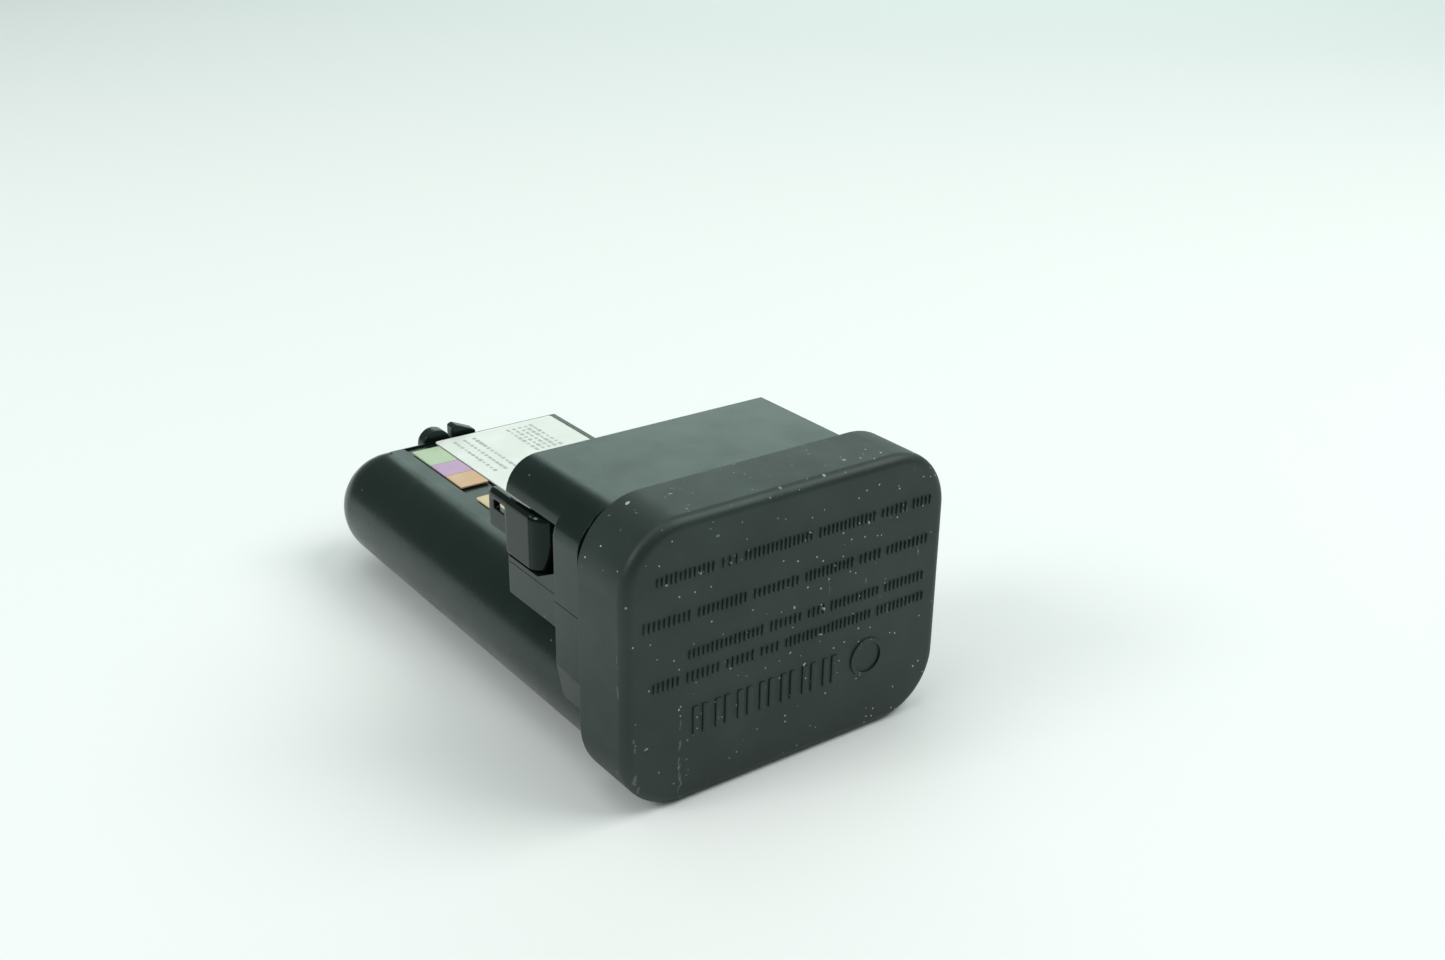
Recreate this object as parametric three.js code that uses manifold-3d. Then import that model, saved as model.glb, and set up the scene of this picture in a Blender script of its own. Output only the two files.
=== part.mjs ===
// Vehicle control module with a rod antenna: a moulded box closed by a push-on end cap.
// Millimetres, +Z up. X runs across the end cap, Y runs from the cap to the domed tube end.
// Pieces are laid out from the cap's lower left front corner, and the finished assembly is
// moved so that its origin is at the middle of its base.

import * as THREE from 'three';
import { mergeVertices } from 'three/addons/utils/BufferGeometryUtils.js';
import Module from 'manifold-3d';

const wasm = await Module();
wasm.setup();

// ---------------------------------------------------------------- driving dimensions

const GAP = 0.3;              // clearance between neighbouring pieces
const WALL = 1.8;             // housing wall
const SEAM = 30.6;            // height of the joint between the two housing shells

const CAP = { width: 65, height: 50.3, depth: 13.4, corner: 11.3, edge: 1.5, wall: 1.6, floor: 2 };
const RELIEF = 0.3;           // height of the moulded marks on the cap's face
const SEAL = 1;               // thickness of the seal ring under the cap

const TUBE = { x: 12.6, z: 12.6, radius: 11, end: 116.2 };
const SLAB = { right: 51.8, end: 108 };
const TOWER = { right: 54.5, top: 48.7, bottom: 24.5, back: 38.4, corner: 6 };
const RIB = { left: 0.4, back: 21.3, right: 6.6, low: 19, top: 47.3, corner: 5.8 };
const PARTITION = 24.2;       // left side of the slab's bore, beside the antenna tube
const FOOT = { left: 16, right: 46, front: 98, back: 104 };

const LABEL = { left: 22.4, right: 49.9, front: 44, back: 107, recess: 0.4, thick: 0.3 };
const STRIP = { left: 16, right: 22, front: 83, back: 104.6 };
const TAG = { left: 16, right: 21.4, front: 62, back: 77.3 };

// The latch lies flush in a pocket of the tower's left wall and runs out past its back.
const LATCH = { front: 27.5, root: 33, end: 45, inside: 5.9, thick: 1.5, low: 31.7, high: 41.8, round: 4.2 };
const LATCH_TAIL = { front: 38.9, low: 34.4, corner: 1.2 };
const LATCH_WINDOW = { front: 39.4, back: 43, low: 38.3, high: 39.8 };
const POCKET = { floor: 6.2, low: 31.4, high: 43.2, pad: 8, back: 2, roof: 45.4 };
const POCKET_LIP = { back: 28.4, rise: 0.51, thick: 1, sunk: 0.4 };

// The board is wide under the tower and narrows at its step to enter the slab.
const BOARD = {
  low: 12, thick: 1.6, front: 5, step: 36, back: 88, wideLeft: 8, narrowLeft: 24.8, right: 49.4,
};
const SCREWS = [[11.5, 10.5], [45.5, 10.5], [37.1, 79]];
const SCREW = { shank: 1.2, head: 2.6, headHeight: 1.6, tip: 6, boss: 2.8 };

const PIVOT = { x: 28, z: 41, radius: 1.2 };
const PENDULUM = { front: 22, back: 30, hub: 3.4, inner: 8, outer: 16, half: 28 };
const BRACKET = { front: 18, back: 34, sheet: 1.4, left: 22, right: 34 };
const MAGNET = { radius: 2.2, height: 2 };
const SENSOR = { front: 25, back: 27.4, low: 18.6, high: 22, half: 2, legs: [-1.3, 0, 1.3], wire: 0.25 };

const ROD = { radius: 4, front: 42, back: 102 };
const COIL = { radius: 5.4, front: 55, back: 88 };
const CLIP = { radius: 8.9, length: 5, places: [44, 94] };

const HEADER = { front: 90.6, back: 93.6 };
const SHROUD = { flange: 3, wall: 1.5, front: 95, drop: 1.6 };
const PIN = {
  size: 1, end: 103, pitch: 4.2, columns: 5, rows: [8.2, 16.8], centre: 37.1, lowTail: 83.6, highTail: 85.6,
};

const tubeTop = TUBE.z + TUBE.radius;
const tubeBottom = TUBE.z - TUBE.radius;
const towerLeft = TUBE.x - TUBE.radius;
const collarInset = CAP.wall + GAP;
const capFloor = RELIEF + CAP.floor;
const collarFront = capFloor + GAP + SEAL + GAP;
const bodyFront = CAP.depth + GAP;
const boardTop = BOARD.low + BOARD.thick + GAP;
const labelBase = tubeTop - LABEL.recess + GAP;
const OVERRUN = 1;            // how far a cutter runs past the face that it cuts

// ------------------------------------------------------------------- shape helpers

function toSolid(geometry) {
  const bare = geometry.clone();
  bare.deleteAttribute('normal');
  bare.deleteAttribute('uv');
  const welded = mergeVertices(bare, 1e-4);
  const vertProperties = Float32Array.from(welded.attributes.position.array);
  const triVerts = Uint32Array.from(welded.index.array);
  return new wasm.Manifold(new wasm.Mesh({ numProp: 3, vertProperties, triVerts }));
}

function toGeometry(solid) {
  const { vertProperties, triVerts } = solid.getMesh();
  const geometry = new THREE.BufferGeometry();
  geometry.setAttribute('position', new THREE.BufferAttribute(vertProperties, 3));
  geometry.setIndex(new THREE.BufferAttribute(triVerts, 1));
  geometry.computeVertexNormals();
  return geometry;
}

function roundedOutline(x0, x1, z0, z1, corners) {
  const { lowLeft = 0, lowRight = 0, highRight = 0, highLeft = 0 } = corners;
  const shape = new THREE.Shape();
  shape.moveTo(x0 + lowLeft, z0);
  shape.lineTo(x1 - lowRight, z0);
  if (lowRight) shape.absarc(x1 - lowRight, z0 + lowRight, lowRight, -Math.PI / 2, 0);
  shape.lineTo(x1, z1 - highRight);
  if (highRight) shape.absarc(x1 - highRight, z1 - highRight, highRight, 0, Math.PI / 2);
  shape.lineTo(x0 + highLeft, z1);
  if (highLeft) shape.absarc(x0 + highLeft, z1 - highLeft, highLeft, Math.PI / 2, Math.PI);
  shape.lineTo(x0, z0 + lowLeft);
  if (lowLeft) shape.absarc(x0 + lowLeft, z0 + lowLeft, lowLeft, Math.PI, 1.5 * Math.PI);
  return shape;
}

// The cap's own outline, moved inwards all round.
function capOutline(inset) {
  const r = CAP.corner - inset;
  const corners = { lowLeft: r, lowRight: r, highRight: r, highLeft: r };
  return roundedOutline(inset, CAP.width - inset, inset, CAP.height - inset, corners);
}

function polygon(points) {
  return new THREE.Shape(points.map(([u, v]) => new THREE.Vector2(u, v)));
}

// An outline in X and Z, drawn out along Y.
function alongY(shape, front, back, curveSegments = 8) {
  const options = { depth: back - front, bevelEnabled: false, curveSegments };
  const geometry = new THREE.ExtrudeGeometry(shape, options);
  geometry.rotateX(Math.PI / 2);
  geometry.translate(0, back, 0);
  return toSolid(geometry);
}

// An outline in Y and Z, drawn out along X.
function alongX(shape, left, right) {
  const geometry = new THREE.ExtrudeGeometry(shape, { depth: right - left, bevelEnabled: false });
  const turn = new THREE.Matrix4().makeBasis(
    new THREE.Vector3(0, 1, 0),
    new THREE.Vector3(0, 0, 1),
    new THREE.Vector3(1, 0, 0),
  );
  geometry.applyMatrix4(turn);
  geometry.translate(left, 0, 0);
  return toSolid(geometry);
}

// An outline in X and Y, drawn out along Z.
function alongZ(shape, low, high) {
  const geometry = new THREE.ExtrudeGeometry(shape, { depth: high - low, bevelEnabled: false });
  geometry.translate(0, 0, low);
  return toSolid(geometry);
}

function block(x0, x1, y0, y1, z0, z1) {
  const geometry = new THREE.BoxGeometry(x1 - x0, y1 - y0, z1 - z0);
  geometry.translate((x0 + x1) / 2, (y0 + y1) / 2, (z0 + z1) / 2);
  return toSolid(geometry);
}

function roundAlongY(x, z, radius, front, back, sides = 24) {
  const geometry = new THREE.CylinderGeometry(radius, radius, back - front, sides);
  geometry.translate(x, (front + back) / 2, z);
  return toSolid(geometry);
}

function roundAlongZ(x, y, radius, low, high, sides = 20) {
  const geometry = new THREE.CylinderGeometry(radius, radius, high - low, sides);
  geometry.rotateX(Math.PI / 2);
  geometry.translate(x, y, (low + high) / 2);
  return toSolid(geometry);
}

// A round bar along Y that ends in half a ball.
function domedBar(radius, front, end, sides) {
  const start = end - radius;
  const steps = sides / 4;
  const profile = [new THREE.Vector2(0, front), new THREE.Vector2(radius, front)];
  for (let i = 0; i < steps; i += 1) {
    const turn = (i / steps) * Math.PI / 2;
    profile.push(new THREE.Vector2(radius * Math.cos(turn), start + radius * Math.sin(turn)));
  }
  profile.push(new THREE.Vector2(0, end));
  const geometry = new THREE.LatheGeometry(profile, sides);
  geometry.translate(TUBE.x, 0, TUBE.z);
  return toSolid(geometry);
}

function joined(solids) {
  return solids.reduce((whole, solid) => whole.add(solid));
}

function ringAlongY(x, z, inner, outer, front, back, sides) {
  const hole = roundAlongY(x, z, inner, front - OVERRUN, back + OVERRUN, sides);
  return roundAlongY(x, z, outer, front, back, sides).subtract(hole);
}

// ------------------------------------------------------------------------- end cap

// Raised marks on the cap's face: plain bars in place of writing, one row after another.
const MARK_ROWS = [
  { z: 40.9, left: 6, bars: [10.8, 3, 13.4, 11.8, 5.4, 4] },
  { z: 33.7, left: 3.6, bars: [8.8, 9.3, 9, 10, 4.5, 9] },
  { z: 26.8, left: 12, bars: [14.6, 6.3, 3.4, 10.3, 8.6] },
  { z: 22.8, left: 5.3, bars: [5, 6.3, 5.4, 3.6, 18.1, 10.4] },
  { z: 14.6, left: 12.8, bars: [3, 3, 3, 3, 3, 3, 3], height: 5.2 },
];
const MARK = { height: 1.7, space: 1.4 };
const MARK_RING = { x: 48.9, z: 14.6, outer: 3.6, inner: 2.9 };

function capMarks() {
  const root = RELIEF + CAP.floor / 2;
  const marks = [];
  for (const { z, left, bars, height = MARK.height } of MARK_ROWS) {
    let x = left;
    for (const length of bars) {
      marks.push(block(x, x + length, 0, root, z - height / 2, z + height / 2));
      x += length + MARK.space;
    }
  }
  const ring = MARK_RING;
  marks.push(ringAlongY(ring.x, ring.z, ring.inner, ring.outer, 0, root, 20));
  return joined(marks);
}

function endCap() {
  const bevel = {
    depth: CAP.depth + 2,
    bevelThickness: CAP.edge,
    bevelSize: CAP.edge,
    bevelOffset: -CAP.edge,
    bevelSegments: 3,
    curveSegments: 7,
  };
  const outside = new THREE.ExtrudeGeometry(capOutline(0), bevel);
  outside.rotateX(Math.PI / 2);
  outside.translate(0, RELIEF + CAP.edge + bevel.depth, 0);
  const { width, height, depth } = CAP;
  const spare = block(-OVERRUN, width + OVERRUN, depth, depth * 2, -OVERRUN, height + OVERRUN);
  const hollow = alongY(capOutline(CAP.wall), capFloor, CAP.depth + OVERRUN);
  return toSolid(outside).subtract(spare).subtract(hollow).add(capMarks());
}

function capSeal() {
  const front = capFloor + GAP;
  const hole = alongY(capOutline(collarInset + WALL), front - OVERRUN, front + SEAL + OVERRUN);
  return alongY(capOutline(collarInset), front, front + SEAL).subtract(hole);
}

// ------------------------------------------------------------------------- housing

function housingOutside() {
  const collar = alongY(capOutline(collarInset), collarFront, bodyFront + WALL);
  const { right, top, bottom, back, corner } = TOWER;
  const towerShape = roundedOutline(towerLeft, right, bottom, top, { highLeft: corner });
  const tower = alongY(towerShape, bodyFront, back);
  const web = block(TUBE.x, SLAB.right, bodyFront, back, tubeTop - OVERRUN, bottom + OVERRUN);
  const tube = domedBar(TUBE.radius, bodyFront, TUBE.end, 32);
  const slab = block(TUBE.x, SLAB.right, bodyFront, SLAB.end, tubeBottom, tubeTop);
  const foot = block(FOOT.left, FOOT.right, FOOT.front, FOOT.back, 0, tubeBottom + OVERRUN);
  return joined([collar, tower, web, tube, slab, foot, sideRib()]);
}

// The shallow rib that stands behind the cap's rim on the left side.
function sideRib() {
  const { left, back, right, low, top, corner } = RIB;
  const shape = new THREE.Shape();
  shape.moveTo(towerLeft, TUBE.z);
  shape.lineTo(right, TUBE.z);
  shape.lineTo(right, top);
  shape.lineTo(left + corner, top);
  shape.absarc(left + corner, top - corner, corner, Math.PI / 2, Math.PI);
  shape.lineTo(left, low);
  return alongY(shape, bodyFront, back);
}

function housingHollow() {
  const front = collarFront - OVERRUN;
  const bay = TOWER.back - WALL;
  const left = towerLeft + WALL;
  const right = TOWER.right - WALL;
  const low = TOWER.bottom + WALL;
  const corner = { highLeft: TOWER.corner - WALL };
  const mouth = alongY(capOutline(collarInset + WALL), front, bodyFront);
  const towerBore = alongY(roundedOutline(left, right, low, TOWER.top - WALL, corner), front, bay);
  const wellRight = SLAB.right - WALL;
  const well = block(TUBE.x, wellRight, front, bay, tubeBottom + WALL, low + OVERRUN);
  const tubeBore = domedBar(TUBE.radius - WALL, front, TUBE.end - WALL, 24);
  const slabEnd = SLAB.end + OVERRUN;
  const slabBore = block(PARTITION, wellRight, front, slabEnd, tubeBottom + WALL, tubeTop - WALL);
  return joined([mouth, towerBore, well, tubeBore, slabBore]);
}

// Bosses under the board, each with a pilot hole for its screw.
function boardBosses() {
  const bosses = SCREWS.map(([x, y]) => {
    const boss = roundAlongZ(x, y, SCREW.boss, tubeBottom + WALL / 2, BOARD.low - GAP, 16);
    return boss.subtract(roundAlongZ(x, y, SCREW.shank + GAP, SCREW.tip - GAP, BOARD.low + OVERRUN, 12));
  });
  return joined(bosses);
}

function latchPocket() {
  const { floor, low, high } = POCKET;
  return block(-OVERRUN, floor, RIB.back, TOWER.back + OVERRUN, low, high);
}

// A thickening of the wall behind the pocket.
function latchPad() {
  const { low, pad, back, roof } = POCKET;
  const end = TOWER.back - WALL / 2;
  return block(towerLeft + WALL / 2, pad, RIB.back - back, end, low - back, roof);
}

// The pocket's lower front corner, which slopes up towards the rib.
function pocketLip() {
  const { back, rise, thick, sunk } = POCKET_LIP;
  const front = RIB.back - sunk;
  const low = POCKET.low - sunk;
  const slope = polygon([
    [front, low],
    [back, low],
    [back, POCKET.low],
    [front, POCKET.low + rise * (back - front)],
  ]);
  return alongX(slope, towerLeft, towerLeft + thick);
}

function housing() {
  const recess = block(
    STRIP.left - 0.4, SLAB.right - 0.8,
    LABEL.front - 0.4, LABEL.back + 0.4,
    tubeTop - LABEL.recess, tubeTop + OVERRUN,
  );
  const shell = housingOutside().subtract(housingHollow()).subtract(recess);
  return shell.add(boardBosses()).add(latchPad()).subtract(latchPocket()).add(pocketLip());
}

function housingPart(low, high) {
  return housing().intersect(block(-OVERRUN, CAP.width, 0, TUBE.end + OVERRUN, low, high));
}

const lowerHousing = () => housingPart(-OVERRUN, SEAM - GAP / 2);
const upperHousing = () => housingPart(SEAM + GAP / 2, CAP.height);

// ---------------------------------------------------------------------- side latch

// A thick root with a round front edge, and a springy plate from it that steps up behind the
// tower. A window in the tail leaves a bar along the top.
function sideLatch() {
  const { front, root, end, inside, thick, low, high, round } = LATCH;
  const face = towerLeft;
  const post = alongZ(roundedOutline(face, inside, front, root, { lowLeft: round }), low, high);
  const tail = LATCH_TAIL;
  const side = polygon([
    [root - 1, low],
    [tail.front, low],
    [tail.front, tail.low],
    [end, tail.low],
    [end, high - tail.corner],
    [end - tail.corner, high],
    [root - 1, high],
  ]);
  const gap = LATCH_WINDOW;
  const hole = block(0, inside, gap.front, gap.back, gap.low, gap.high);
  return post.add(alongX(side, face, face + thick)).subtract(hole);
}

// -------------------------------------------------------------------------- labels

function mainLabel() {
  const { left, right, front, back, thick } = LABEL;
  return block(left, right, front, back, labelBase, labelBase + thick);
}

function colourStrip() {
  const { left, right, front, back } = STRIP;
  return block(left, right, front, back, labelBase, labelBase + LABEL.thick);
}

function lotTag() {
  const { left, right, front, back } = TAG;
  return block(left, right, front, back, labelBase, labelBase + LABEL.thick);
}

// ----------------------------------------------------------------------- connector

const socket = {
  left: PARTITION + GAP,
  right: SLAB.right - WALL - GAP,
  low: tubeBottom + WALL + GAP,
  high: tubeTop - WALL - GAP,
};

// The two lugs on top of the shroud: a round key and a one-way locking ramp.
function shroudLugs() {
  const top = tubeTop;
  const shape = new THREE.Shape();
  shape.moveTo(20, top - 2.4);
  shape.lineTo(32.6, top - 2.4);
  shape.lineTo(32.6, top + 0.2);
  shape.lineTo(28, top + 2.3);
  shape.lineTo(27.2, top + 2);
  shape.lineTo(26.7, top + 0.7);
  shape.quadraticCurveTo(25.6, top + 2, 24, top + 2);
  shape.quadraticCurveTo(22, top + 1.8, 20, top - 0.4);
  return alongY(shape, SLAB.end + GAP, SLAB.end + GAP + SHROUD.flange, 5);
}

function connectorShroud() {
  const { left, right, low, high } = socket;
  const { wall, flange, front, drop } = SHROUD;
  const face = SLAB.end + GAP;
  const back = face + flange;
  const spigot = block(left, right, front, back, low, high);
  const plate = block(PARTITION - 1, SLAB.right, face, back, tubeBottom, tubeTop - drop);
  const mouth = block(left + wall, right - wall, front - OVERRUN, back + OVERRUN, low + wall, high - wall);
  return joined([spigot, plate, shroudLugs()]).subtract(mouth);
}

const pinPlaces = PIN.rows.flatMap((z) => Array.from({ length: PIN.columns }, (_, i) => (
  { x: PIN.centre + (i - (PIN.columns - 1) / 2) * PIN.pitch, z }
)));

function pinHeader() {
  const { left, right, low, high } = socket;
  const half = PIN.size / 2 + GAP;
  const plate = block(left, right, HEADER.front, HEADER.back, low, high);
  const holes = pinPlaces.map(({ x, z }) => block(
    x - half, x + half, HEADER.front - OVERRUN, HEADER.back + OVERRUN, z - half, z + half,
  ));
  return plate.subtract(joined(holes));
}

// A contact: straight through the header, then turned towards the board.
function contactPin({ x, z }) {
  const half = PIN.size / 2;
  const above = z > BOARD.low;
  const tail = above ? PIN.highTail : PIN.lowTail;
  const tip = above ? boardTop : BOARD.low - GAP;
  const outer = above ? z + half : z - half;
  const inner = above ? z - half : z + half;
  const bend = tail + PIN.size;
  const points = [
    [tail, tip],
    [tail, outer],
    [PIN.end, outer],
    [PIN.end, inner],
    [bend, inner],
    [bend, tip],
  ];
  return alongX(polygon(points), x - half, x + half);
}

// ------------------------------------------------------------------- circuit board

function circuitBoard() {
  const { low, thick, front, step, back, wideLeft, narrowLeft, right } = BOARD;
  const outline = polygon([
    [wideLeft, front],
    [right, front],
    [right, back],
    [narrowLeft, back],
    [narrowLeft, step],
    [wideLeft, step],
  ]);
  const high = low + thick;
  const bore = SCREW.shank + GAP;
  const holes = SCREWS.map(([x, y]) => roundAlongZ(x, y, bore, low - OVERRUN, high + OVERRUN, 12));
  return alongZ(outline, low, high).subtract(joined(holes));
}

function boardScrew([x, y]) {
  const head = roundAlongZ(x, y, SCREW.head, boardTop, boardTop + SCREW.headHeight, 16);
  const slot = block(x - 3, x + 3, y - 0.4, y + 0.4, boardTop + 1, boardTop + 3);
  return head.subtract(slot).add(roundAlongZ(x, y, SCREW.shank, SCREW.tip, boardTop + 0.5, 12));
}

// Components that are plain moulded blocks, as [x0, x1, y0, y1, height].
const BLOCKS = {
  signal_relay_left: [15, 27, 6, 16.2, 14.6],
  signal_relay_right: [29, 41, 6, 16.2, 14.6],
  microcontroller: [29, 39, 52, 62, 1.6],
  crystal: [41.5, 46, 51.5, 62.5, 3.6],
  voltage_regulator: [26, 35.5, 66, 75, 4.4],
  radio_receiver: [39, 46.5, 65, 75.5, 2.4],
  surge_diode: [43, 48, 79, 83, 2.4],
};

function boardBlock([x0, x1, y0, y1, height]) {
  return block(x0, x1, y0, y1, boardTop, boardTop + height);
}

const SWITCH = { places: [25.6, 31.6, 37.6, 43.6], front: 39.5, back: 45.5, width: 5, height: 2.4, tab: 0.6 };

// A power switch: a flat package with its metal tab standing out in front.
function powerSwitch(x) {
  const { front, back, width, height, tab } = SWITCH;
  const body = block(x, x + width, front, back, boardTop, boardTop + height);
  const edge = width / 12;
  return body.add(block(x + edge, x + width - edge, front - 1.5, front + tab, boardTop, boardTop + tab));
}

const CAPACITOR = { x: 44, y: 27, radius: 5, height: 12, neck: 4.6, crimp: 1.6 };
const CHOKE = { x: 13.5, y: 27, outer: 4.5, inner: 2, height: 4 };

// A can with the crimped groove that holds its rubber bung.
function reservoirCapacitor() {
  const { x, y, radius, height, neck, crimp } = CAPACITOR;
  const low = boardTop + crimp;
  const foot = roundAlongZ(x, y, radius, boardTop, low, 24);
  const waist = roundAlongZ(x, y, neck, low - GAP, low + 2 * GAP, 24);
  const can = roundAlongZ(x, y, radius, low + GAP, boardTop + height, 24);
  return joined([foot, waist, can]);
}

function filterChoke() {
  const { x, y, outer, inner, height } = CHOKE;
  const hole = roundAlongZ(x, y, inner, boardTop - OVERRUN, boardTop + height + OVERRUN, 16);
  return roundAlongZ(x, y, outer, boardTop, boardTop + height, 20).subtract(hole);
}

// --------------------------------------------------------------------- tilt sensor

function tiltBracket() {
  const { front, back, sheet, left, right } = BRACKET;
  const base = block(left, right, front, back, boardTop, boardTop + sheet);
  const ear = polygon([
    [left, boardTop],
    [right, boardTop],
    [PIVOT.x + 3.4, PIVOT.z + 1.5],
    [PIVOT.x + 1.8, PIVOT.z + 3.2],
    [PIVOT.x - 1.8, PIVOT.z + 3.2],
    [PIVOT.x - 3.4, PIVOT.z + 1.5],
  ]);
  const ears = alongY(ear, front, front + sheet).add(alongY(ear, back - sheet, back));
  const bore = roundAlongY(PIVOT.x, PIVOT.z, PIVOT.radius + GAP, front - OVERRUN, back + OVERRUN, 16);
  const [slotLeft, slotRight] = [PIVOT.x - 3, PIVOT.x + 3];
  const [slotLow, slotHigh] = [boardTop - OVERRUN, boardTop + 2 * sheet];
  const slot = block(slotLeft, slotRight, SENSOR.front, SENSOR.back, slotLow, slotHigh);
  return base.add(ears).subtract(bore).subtract(slot);
}

function pivotPin() {
  const { x, z, radius } = PIVOT;
  const shaft = roundAlongY(x, z, radius, BRACKET.front - 0.8, BRACKET.back + GAP + 0.5, 16);
  return shaft.add(roundAlongY(x, z, radius + 1, BRACKET.back + GAP, BRACKET.back + GAP + 1, 16));
}

// A hub, a neck and a heavy segment that always hangs lowest.
function tiltPendulum() {
  const { front, back, hub, inner, outer, half } = PENDULUM;
  const { x, z } = PIVOT;
  const reach = THREE.MathUtils.degToRad(half);
  const weight = new THREE.Shape();
  weight.absarc(x, z, outer, -Math.PI / 2 - reach, -Math.PI / 2 + reach);
  weight.absarc(x, z, inner, -Math.PI / 2 + reach, -Math.PI / 2 - reach, true);
  const body = alongY(weight, front, back, 12)
    .add(roundAlongY(x, z, hub, front, back, 20))
    .add(block(x - 1.8, x + 1.8, front + 2, back - 2, z - inner - 1, z - hub + 1));
  const bore = roundAlongY(x, z, PIVOT.radius + GAP, front - OVERRUN, back + OVERRUN, 16);
  const middle = (front + back) / 2;
  const roof = z - outer + MAGNET.height + GAP;
  const pocket = roundAlongZ(x, middle, MAGNET.radius + GAP, z - outer - OVERRUN, roof, 16);
  return body.subtract(bore).subtract(pocket);
}

function pendulumMagnet() {
  const low = PIVOT.z - PENDULUM.outer;
  const middle = (PENDULUM.front + PENDULUM.back) / 2;
  return roundAlongZ(PIVOT.x, middle, MAGNET.radius, low, low + MAGNET.height, 16);
}

function hallSensor() {
  const { front, back, low, high, half, legs, wire } = SENSOR;
  const middle = (front + back) / 2;
  const body = block(PIVOT.x - half, PIVOT.x + half, front, back, low, high);
  const pieces = legs.map((step) => block(
    PIVOT.x + step - wire, PIVOT.x + step + wire, middle - wire, middle + wire, boardTop, low + wire,
  ));
  return joined([body, ...pieces]);
}

// ------------------------------------------------------------------------- antenna

function ferriteRod() {
  return roundAlongY(TUBE.x, TUBE.z, ROD.radius, ROD.front, ROD.back, 24);
}

function antennaWinding() {
  return ringAlongY(TUBE.x, TUBE.z, ROD.radius + GAP, COIL.radius, COIL.front, COIL.back, 24);
}

// A split ring that holds the rod in the middle of the tube, open to one side for the leads.
function rodClip(front) {
  const back = front + CLIP.length;
  const ring = ringAlongY(TUBE.x, TUBE.z, ROD.radius + GAP, CLIP.radius, front, back, 24);
  const opening = block(TUBE.x + 1, TUBE.x + 12, front - OVERRUN, back + OVERRUN, TUBE.z + 0.4, TUBE.z + 6);
  return ring.subtract(opening);
}

const LEADS = [
  [[17, 54.4, 15.6], [18.2, 50, 16.4], [18.2, 42, 16.6], [18.2, 37, 16.4], [18.4, 34.4, 14.5]],
  [[18.2, 54.4, 13.6], [19.4, 50, 14.4], [20.2, 42, 15], [20.2, 37, 15.2], [20.4, 35, 14.5]],
];

function antennaLead(route) {
  const path = new THREE.CatmullRomCurve3(route.map(([x, y, z]) => new THREE.Vector3(x, y, z)));
  const section = new THREE.Shape();
  section.absarc(0, 0, 0.35, 0, 2 * Math.PI);
  const geometry = new THREE.ExtrudeGeometry(section, { extrudePath: path, steps: 12, curveSegments: 8 });
  return toSolid(geometry);
}

// ------------------------------------------------------------------------ assembly

function finish(color, roughness, metalness = 0) {
  return new THREE.MeshStandardMaterial({ color, roughness, metalness });
}

const FINISHES = {
  cap: finish('#1d2120', 0.62),
  housing: finish('#20282a', 0.38),
  seal: finish('#3a3f40', 0.8),
  latch: finish('#15191a', 0.22),
  paper: finish('#eef2ec', 0.55),
  tint: finish('#c3dcb0', 0.55),
  cream: finish('#f0ead0', 0.55),
  pin: finish('#c9cdd0', 0.25, 1),
  header: finish('#111416', 0.5),
  board: finish('#1f5a3a', 0.45),
  relay: finish('#d9d7cc', 0.5),
  chip: finish('#1a1b1d', 0.5),
  can: finish('#b9bdc1', 0.3, 1),
  screw: finish('#a9adb0', 0.35, 1),
  brass: finish('#c8a24e', 0.35, 1),
  ferrite: finish('#3c3b3d', 0.7),
  copper: finish('#b56a35', 0.35, 1),
  foam: finish('#54585a', 0.9),
};

const assembly = new THREE.Group();
assembly.position.set(-CAP.width / 2, -TUBE.end / 2, 0);

function place(name, solid, material) {
  const mesh = new THREE.Mesh(toGeometry(solid), material);
  mesh.name = name;
  assembly.add(mesh);
}

place('end_cap', endCap(), FINISHES.cap);
place('cap_seal', capSeal(), FINISHES.seal);
place('lower_housing', lowerHousing(), FINISHES.housing);
place('upper_housing', upperHousing(), FINISHES.housing);
place('side_latch', sideLatch(), FINISHES.latch);
place('main_label', mainLabel(), FINISHES.paper);
place('colour_strip', colourStrip(), FINISHES.tint);
place('lot_tag', lotTag(), FINISHES.cream);
place('connector_shroud', connectorShroud(), FINISHES.housing);
place('pin_header', pinHeader(), FINISHES.header);
pinPlaces.forEach((pin, i) => place(`contact_pin_${i + 1}`, contactPin(pin), FINISHES.pin));
place('circuit_board', circuitBoard(), FINISHES.board);
SCREWS.forEach((spot, i) => place(`board_screw_${i + 1}`, boardScrew(spot), FINISHES.screw));
for (const [name, size] of Object.entries(BLOCKS)) {
  const material = name.startsWith('signal_relay') ? FINISHES.relay : FINISHES.chip;
  place(name, boardBlock(size), name === 'crystal' ? FINISHES.can : material);
}
SWITCH.places.forEach((x, i) => place(`power_switch_${i + 1}`, powerSwitch(x), FINISHES.chip));
place('reservoir_capacitor', reservoirCapacitor(), FINISHES.can);
place('filter_choke', filterChoke(), FINISHES.copper);
place('tilt_bracket', tiltBracket(), FINISHES.screw);
place('pivot_pin', pivotPin(), FINISHES.pin);
place('tilt_pendulum', tiltPendulum(), FINISHES.brass);
place('pendulum_magnet', pendulumMagnet(), FINISHES.can);
place('hall_sensor', hallSensor(), FINISHES.chip);
place('ferrite_rod', ferriteRod(), FINISHES.ferrite);
place('antenna_winding', antennaWinding(), FINISHES.copper);
CLIP.places.forEach((front, i) => place(`rod_clip_${i + 1}`, rodClip(front), FINISHES.foam));
LEADS.forEach((route, i) => place(`antenna_lead_${i + 1}`, antennaLead(route), FINISHES.copper));

export default assembly;
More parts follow.
